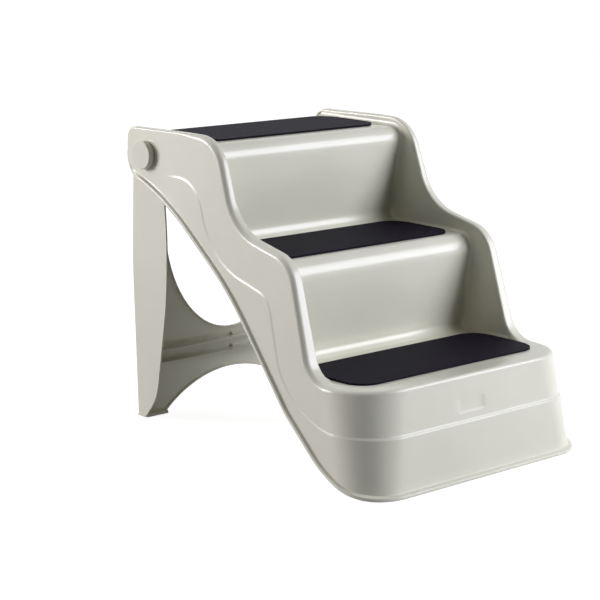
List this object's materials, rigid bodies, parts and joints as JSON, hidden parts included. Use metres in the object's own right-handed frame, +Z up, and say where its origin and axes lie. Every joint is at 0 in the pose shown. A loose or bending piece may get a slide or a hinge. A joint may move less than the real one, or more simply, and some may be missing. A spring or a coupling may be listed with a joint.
{
  "type": "folding pet stair",
  "caption": "Moulded plastic pet stair with side rails, dark tread mats and a hinged rear leg frame that folds forward under the steps.",
  "frame": {"origin": "middle of the bounding box's base: the floor under the middle of the open stair", "axes": "+X across the stair to its right as seen by someone climbing it, +Y the way the steps climb, +Z up"},
  "size_m": [0.415, 0.5199, 0.42],
  "materials": {
    "ivory_plastic": "moulded, satin gloss, warm grey ivory",
    "charcoal_mat": "matt charcoal with a faint woven streak",
    "zinc_steel": "zinc plated",
    "foot_rubber": "matt dark grey"
  },
  "bodies": {
    "stair": {"step_shell": "ivory_plastic", "tread_mat_lower": "charcoal_mat", "tread_mat_middle": "charcoal_mat", "tread_mat_upper": "charcoal_mat", "hinge_pin_left": "ivory_plastic", "hinge_pin_right": "ivory_plastic", "hinge_washer_left": "zinc_steel", "hinge_washer_right": "zinc_steel", "hinge_screw_left": "zinc_steel", "hinge_screw_right": "zinc_steel", "front_foot_left": "foot_rubber", "front_foot_right": "foot_rubber"},
    "leg": {"leg_frame": "ivory_plastic", "leg_foot_left": "foot_rubber", "leg_foot_right": "foot_rubber"}
  },
  "joints": [
    {"name": "leg_fold", "type": "hinge", "parent": "stair", "child": "leg", "pos_m": [0, 0.214, 0.382], "axis": [-1, 0, 0], "range_deg": [0, 42]}
  ]
}
